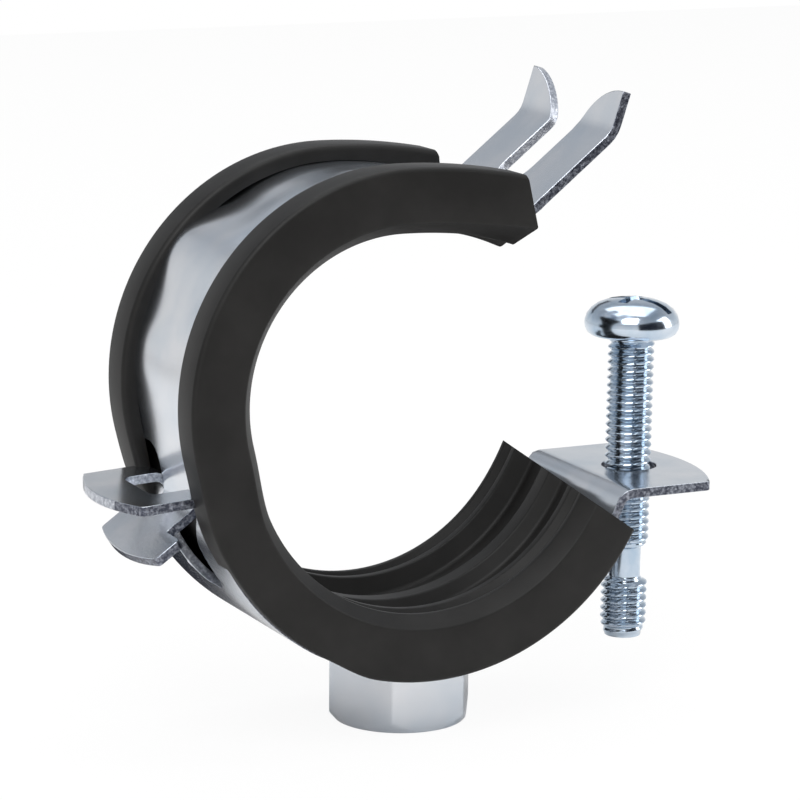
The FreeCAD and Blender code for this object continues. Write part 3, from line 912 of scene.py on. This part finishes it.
screw = {
    "axisX": 33.8,
    "radius": 2.95,
    "pitch": 1.0,
    "threadDepth": 0.46,
    "headTop": 11.7,
    "head": [                 # (radius, height)
        (0.6, 11.72), (2.0, 11.62), (3.3, 11.36), (4.4, 10.92), (5.25, 10.3), (5.75, 9.6), (5.97, 8.9),
        (6.0, 8.4), (5.9, 7.85), (5.62, 7.35), (5.2, 7.06), (4.8, 7.0), (3.3, 6.98), (2.9, 6.94),
    ],
    "threadTop": 6.9,
    "threadFoot": -20.4,
    "runOut": (0.7, 0.6),     # distance over which the thread begins under the head, and beside the waist
    "waist": 2.05,
    "waistFoot": -24.3,
    "tipFoot": -32.0,
    "tipRadius": 2.3,
    "tipTaper": 1.8,
    "tipRound": 0.5,
    "around": 64,
    "driveTurn": -56.0,
    "drive": [                # (turn, depth, half the width on top and at the foot, reach on top and at the foot)
        (0, 1.5, 0.62, 0.58, 7.0, 7.0),       # the slot across the whole head
        (0, 3.0, 0.75, 0.35, 3.6, 1.2),
        (90, 3.0, 0.75, 0.35, 3.6, 1.2),
    ],
    "tilt": 0.6,              # degrees, it hangs a little askew in its hole
    "tiltZ": 9.0,
}

thread = {"crest": 0.12, "flank": 0.74, "stepsPerTurn": 8}        # crest and flank as shares of half the pitch


def threadRadius(height, angle, radius, pitch, depth):
    # A rolled thread: flat narrow crests, 60 degree flanks and a flat root
    phase = (height / pitch - angle / math.tau) % 1.0
    shape = clamp((abs(phase - 0.5) * 2 - thread["crest"]) / thread["flank"])
    return radius - depth * (1 - shape)


def screwRadius(height, angle):
    size = screw
    waist = size["waist"]
    headRun, waistRun = size["runOut"]
    full = threadRadius(height, angle, size["radius"], size["pitch"], size["threadDepth"])
    if height > size["threadFoot"] + waistRun:
        root = size["radius"] - size["threadDepth"]
        return root + (full - root) * clamp((size["threadTop"] - height) / headRun)
    if height > size["threadFoot"]:
        return waist + (full - waist) * min(1.0, (height - size["threadFoot"]) / waistRun)
    if height > size["waistFoot"]:
        return waist
    taper = max(0.0, (size["tipFoot"] + size["tipTaper"] - height) / size["tipTaper"])
    full = full * (1 - taper) + size["tipRadius"] * taper
    return waist + (full - waist) * min(1.0, (size["waistFoot"] - height) / waistRun)


def makeScrew():
    size = screw
    build = bmesh.new()
    profile = list(size["head"])
    height = size["threadTop"]
    while height > size["tipFoot"] + 0.02:
        profile.append((screwRadius, height))
        height -= size["pitch"] / thread["stepsPerTurn"]
    profile += [(size["tipRadius"], size["tipFoot"]), (size["tipRadius"] - size["tipRound"], size["tipFoot"])]
    rings = []
    for radius, height in profile:
        ring = []
        for step in range(size["around"]):
            angle = math.tau * step / size["around"]
            reach = radius(height, angle) if callable(radius) else radius
            spot = (size["axisX"] + reach * math.cos(angle), reach * math.sin(angle), height)
            ring.append(build.verts.new([part * mm for part in spot]))
        rings.append(ring)
    joinRings(build, rings)
    build.faces.new(rings[0])
    build.faces.new(rings[-1][::-1])
    piece = newPiece("clampScrewPlated", build, [zincScrew], 60.0)
    cutDrive(piece)
    pivot = Vector((size["axisX"], 0.0, size["tiltZ"])) * mm
    piece.data.transform(Matrix.Translation(pivot) @ Matrix.Rotation(math.radians(size["tilt"]), 4, "Y")
                         @ Matrix.Translation(-pivot))
    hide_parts("clamp_screw")
    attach(piece, "screw")


def cutDrive(piece):
    # Cross recess with tapered arms, and a slot across the whole head
    size = screw
    build = bmesh.new()
    for arm, depth, halfTop, halfFoot, reachTop, reachFoot in size["drive"]:
        spin = math.radians(size["driveTurn"]) + math.radians(arm)
        ahead = Vector((math.cos(spin), math.sin(spin), 0))
        side = Vector((-ahead.y, ahead.x, 0))
        verts = []
        for height, half, reach in ((size["headTop"] + 1.0, halfTop, reachTop),
                                    (size["headTop"] - depth, halfFoot, reachFoot)):
            for a, b in ((1, 1), (-1, 1), (-1, -1), (1, -1)):
                spot = Vector((size["axisX"], 0, height)) + ahead * a * reach + side * b * half
                verts.append(build.verts.new(spot * mm))
        for corners in ((0, 1, 2, 3), (7, 6, 5, 4), (0, 4, 5, 1), (1, 5, 6, 2), (2, 6, 7, 3), (3, 7, 4, 0)):
            build.faces.new([verts[corner] for corner in corners])
    bmesh.ops.recalc_face_normals(build, faces=build.faces)
    cutter = newObject("driveCutter", build)
    cut = piece.modifiers.new("drive", "BOOLEAN")
    cut.operation = "DIFFERENCE"
    cut.object = cutter
    cut.solver = "EXACT"
    cut.use_self = True
    applyModifier(piece, cut)
    bpy.data.objects.remove(cutter)
    shade(piece, 45.0)


makeScrew()
print("screw made")


# Connection nut

nut = {
    "middle": 1.7,            # the nut sits a little towards the screw
    "flats": 16.7,
    "foot": -39.0,
    "arrisRound": 0.45,
    "spacing": 0.7,
    "sideRings": (0.25, 0.5, 0.75, 0.97),     # shares of the way down
    "footRound": 0.998,
    "chamferFrom": 8.2,
    "chamferAngle": 48.0,
    "bandRadius": 29.0,
    "bore": 4.25,
    "boreTop": -29.6,
    "boreChamfer": (0.35, 0.5),       # out, up
    "threadDepth": 0.75,
    "threadFade": 1.2,
    "pitch": 1.5,
}


def makeNut():
    size = nut
    build = bmesh.new()
    corner = size["flats"] / 2 / math.cos(math.radians(30))
    hexagon = [(corner * math.cos(math.radians(60 * side)), corner * math.sin(math.radians(60 * side)))
               for side in range(6)]
    outline = spaced(roundedCorners(hexagon, [size["arrisRound"]] * 6, 4), size["spacing"])
    rings = []

    def addRing(points):
        rings.append([build.verts.new(((x + size["middle"]) * mm, y * mm, z * mm)) for x, y, z in points])

    def bandZ(x):
        return -math.sqrt(size["bandRadius"] ** 2 - (x + size["middle"]) ** 2)

    def footZ(x, y):
        past = max(0.0, math.hypot(x, y) - size["chamferFrom"])
        return size["foot"] + past * math.tan(math.radians(size["chamferAngle"]))

    addRing([(x, y, bandZ(x)) for x, y in outline])
    for share in size["sideRings"]:
        addRing([(x, y, bandZ(x) + (footZ(x, y) - bandZ(x)) * share) for x, y in outline])
    addRing([(x * size["footRound"], y * size["footRound"], footZ(x, y)) for x, y in outline])
    shares = [min(1.0, size["chamferFrom"] / math.hypot(x, y)) for x, y in outline]
    addRing([(share * x, share * y, size["foot"]) for share, (x, y) in zip(shares, outline)])

    angles = [math.atan2(y, x) for x, y in outline]
    bore = size["bore"] + size["threadDepth"]
    out, up = size["boreChamfer"]
    addRing([((bore + out) * math.cos(angle), (bore + out) * math.sin(angle), size["foot"]) for angle in angles])
    height = size["foot"] + up
    while height < size["boreTop"]:
        fade = min(1.0, (height - size["foot"]) / size["threadFade"])
        points = []
        for angle in angles:
            groove = threadRadius(height, angle, bore, size["pitch"], size["threadDepth"])
            reach = bore + (size["bore"] - groove) * fade
            points.append((reach * math.cos(angle), reach * math.sin(angle), height))
        addRing(points)
        height += size["pitch"] / thread["stepsPerTurn"]
    joinRings(build, rings)
    build.faces.new(rings[-1])
    build.faces.new(rings[0][::-1])
    piece = newPiece("connectionNutPlated", build, [zincSheet], 25.0)
    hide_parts("connection_nut")
    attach(piece, "lower_half")


makeNut()
print("nut made")


# Studio

studio = {
    "floorZ": -39.0,
    "floorSize": 1.6,         # metres
    "floor": "#f4f4f4",
    "soft": 0.38,             # the world's light on matt surfaces
    # What the metal mirrors, from the horizon up
    "room": [(0.0, "#fafafa"), (0.12, "#f2f3f4"), (0.35, "#d3d6da"), (0.7, "#b4b9c0"), (1.0, "#a6abb3")],
    "whiteShare": 0.93,       # of plain white in the floor that the camera sees, whatever the light
    "mirrorShare": 0.05,      # the same in the metal's reflections
    "card": "#23252e",        # dark cards beside and over the table, seen in the metal only
    "cards": [                # (name, middle, the way it faces in degrees, width, foot, top)
        ("frontCard", (140, -270), 117.0, 420, -39, 190),
        ("backCard", (60, 420), -98.0, 260, 135, 200),
        ("sideCard", (-330, 60), -10.0, 200, -39, 60),
        # painted shade: a dark sheet low behind the object, standing in for the object's shadow on the floor where
        # the metal mirrors it
        ("paintedShadowCard", (-12, 34), -90.0, 66, -39, -22),
    ],
    "lamps": [                # (name, place and size in metres, power)
        ("keySoftbox", (-0.35, -0.55, 0.75), 0.6, 0.6, 6.5),
        ("topSoftbox", (0.1, 0.2, 0.9), 0.9, 0.9, 5.0),
        ("fillSoftbox", (0.8, -0.35, 0.25), 0.5, 0.7, 3.5),
    ],
}


def addMix(tree, share, first, second):
    return addNode(tree, "ShaderNodeMixShader", links={0: share, 1: first, 2: second}).outputs[0]


def makeWorld():
    world = bpy.context.scene.world or bpy.data.worlds.new("studioWorld")
    bpy.context.scene.world = world
    tree = clearTree(world)
    path = tree.nodes.new("ShaderNodeLightPath")
    white, soft = (addNode(tree, "ShaderNodeBackground", {"Color": (1, 1, 1, 1), "Strength": strength}).outputs[0]
                   for strength in (1.0, studio["soft"]))
    direction = tree.nodes.new("ShaderNodeTexCoord").outputs["Generated"]
    height = addNode(tree, "ShaderNodeSeparateXYZ", links={"Vector": direction}).outputs["Z"]
    room = addNode(tree, "ShaderNodeBackground", {"Strength": 1.0}, {"Color": addRamp(tree, height, studio["room"])})
    lit = addMix(tree, path.outputs["Is Glossy Ray"], soft, room.outputs[0])
    both = addMix(tree, path.outputs["Is Camera Ray"], lit, white)
    addNode(tree, "ShaderNodeOutputWorld", links={"Surface": both})


def makeFloor():
    build = bmesh.new()
    bmesh.ops.create_grid(build, x_segments=8, y_segments=8, size=studio["floorSize"] / 2)
    for vert in build.verts:
        vert.co.z = studio["floorZ"] * mm
    floor = newObject("studioFloor", build)
    material = bpy.data.materials.new("studioPaper")
    tree = clearTree(material)
    path = tree.nodes.new("ShaderNodeLightPath")
    paper = addNode(tree, "ShaderNodeBsdfDiffuse", {"Color": hexColour(studio["floor"])})
    glow = addNode(tree, "ShaderNodeEmission", {"Color": (1, 1, 1, 1), "Strength": 1.0})
    camera, mirror = (addNode(tree, "ShaderNodeMath", {1: share}, {0: path.outputs[ray]}, operation="MULTIPLY")
                      for ray, share in (("Is Camera Ray", studio["whiteShare"]),
                                         ("Is Glossy Ray", studio["mirrorShare"])))
    share = addNode(tree, "ShaderNodeMath", links={0: camera.outputs[0], 1: mirror.outputs[0]}, operation="MAXIMUM")
    both = addMix(tree, share.outputs[0], paper.outputs[0], glow.outputs[0])
    addNode(tree, "ShaderNodeOutputMaterial", links={"Surface": both})
    floor.data.materials.append(material)


def makeCards():
    paint = bpy.data.materials.new("cardPaint")
    tree = clearTree(paint)
    glow = addNode(tree, "ShaderNodeEmission", {"Color": hexColour(studio["card"]), "Strength": 1.0})
    addNode(tree, "ShaderNodeOutputMaterial", links={"Surface": glow.outputs[0]})
    for name, middle, facing, width, low, high in studio["cards"]:
        build = bmesh.new()
        along = Vector((-math.sin(math.radians(facing)), math.cos(math.radians(facing))))
        corners = [(Vector(middle) + along * side * width / 2, height)
                   for side, height in ((-1, low), (1, low), (1, high), (-1, high))]
        build.faces.new([build.verts.new((spot.x * mm, spot.y * mm, height * mm)) for spot, height in corners])
        card = newObject(name, build)
        card.data.materials.append(paint)
        card.visible_camera = False
        card.visible_shadow = False
        card.visible_diffuse = False


def makeLamps():
    for name, place, width, height, power in studio["lamps"]:
        data = bpy.data.lights.new(name, "AREA")
        data.shape = "RECTANGLE"
        data.size = width
        data.size_y = height
        data.energy = power
        lamp = bpy.data.objects.new(name, data)
        bpy.context.scene.collection.objects.link(lamp)
        lamp.location = place
        lamp.rotation_euler = (-Vector(place)).to_track_quat("-Z", "Y").to_euler()


camera = {
    "place": (-185.65, -390.52, 90.12),
    "target": (1.44, 0.0, 1.14),
    "roll": 0.52,
    "focal": 3599.3,          # pixels
    "picture": 800,           # pixels
    "sensor": 36.0,
}


def makeCamera():
    data = bpy.data.cameras.new("photoCamera")
    eye = bpy.data.objects.new("photoCamera", data)
    bpy.context.scene.collection.objects.link(eye)
    data.sensor_width = camera["sensor"]
    data.lens = camera["focal"] * camera["sensor"] / camera["picture"]
    data.clip_start = 0.01
    data.clip_end = 10.0
    place = Vector(camera["place"])
    ahead = (Vector(camera["target"]) - place).normalized()
    right = ahead.cross(Vector((0, 0, 1))).normalized()
    up = right.cross(ahead)
    roll = math.radians(camera["roll"])
    right, up = right * math.cos(roll) + up * math.sin(roll), up * math.cos(roll) - right * math.sin(roll)
    turn = Matrix((right, up, -ahead)).transposed()
    eye.matrix_world = Matrix.Translation(place * mm) @ turn.to_4x4()
    bpy.context.scene.camera = eye


makeWorld()
makeFloor()
makeCards()
makeLamps()
makeCamera()
bpy.context.scene.view_settings.view_transform = "Standard"
print("studio made")
